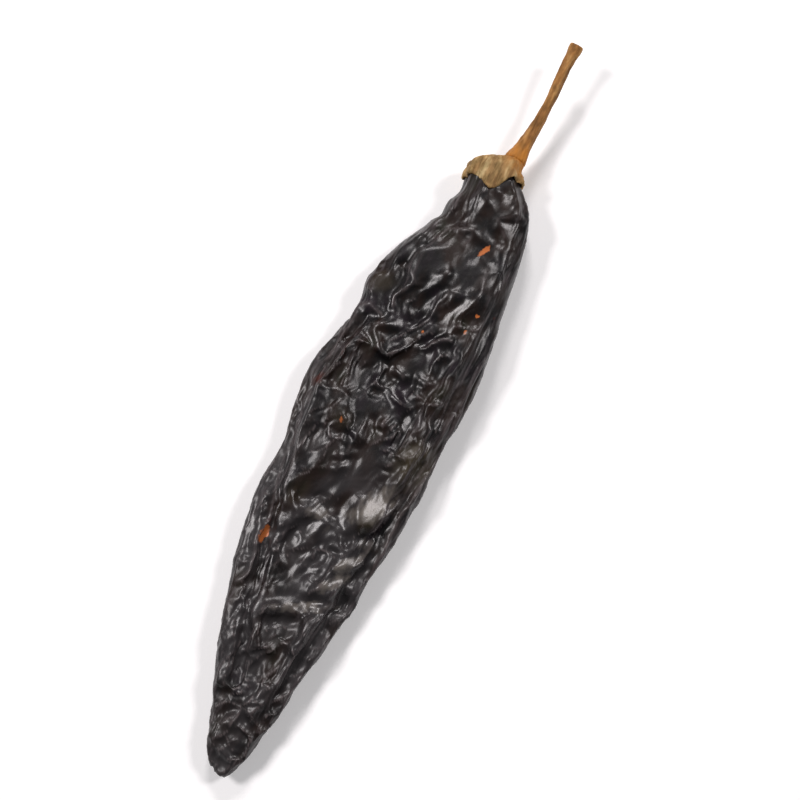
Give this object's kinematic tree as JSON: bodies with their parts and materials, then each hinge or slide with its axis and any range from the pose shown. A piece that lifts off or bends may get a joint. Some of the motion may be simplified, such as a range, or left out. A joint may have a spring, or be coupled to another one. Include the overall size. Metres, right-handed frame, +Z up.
{
  "type": "dried chilli",
  "caption": "Long dark dried chilli pod, collapsed flat and wrinkled, with its calyx and stem, lying on its broad side.",
  "frame": {"origin": "on the surface that the chilli lies on, under the middle of the whole chilli's box", "axes": "+X from the pod's tip towards the end of the stem, +Y across the pod, +Z up"},
  "size_m": [0.2146, 0.0424, 0.0144],
  "materials": {
    "pod_skin": "dark wrinkled skin with a waxy gloss",
    "calyx": "dry papery tan",
    "stem": "dry fibrous orange brown"
  },
  "bodies": {
    "root": {"pod": "pod_skin", "calyx": "calyx", "stem": "stem"}
  },
  "joints": []
}
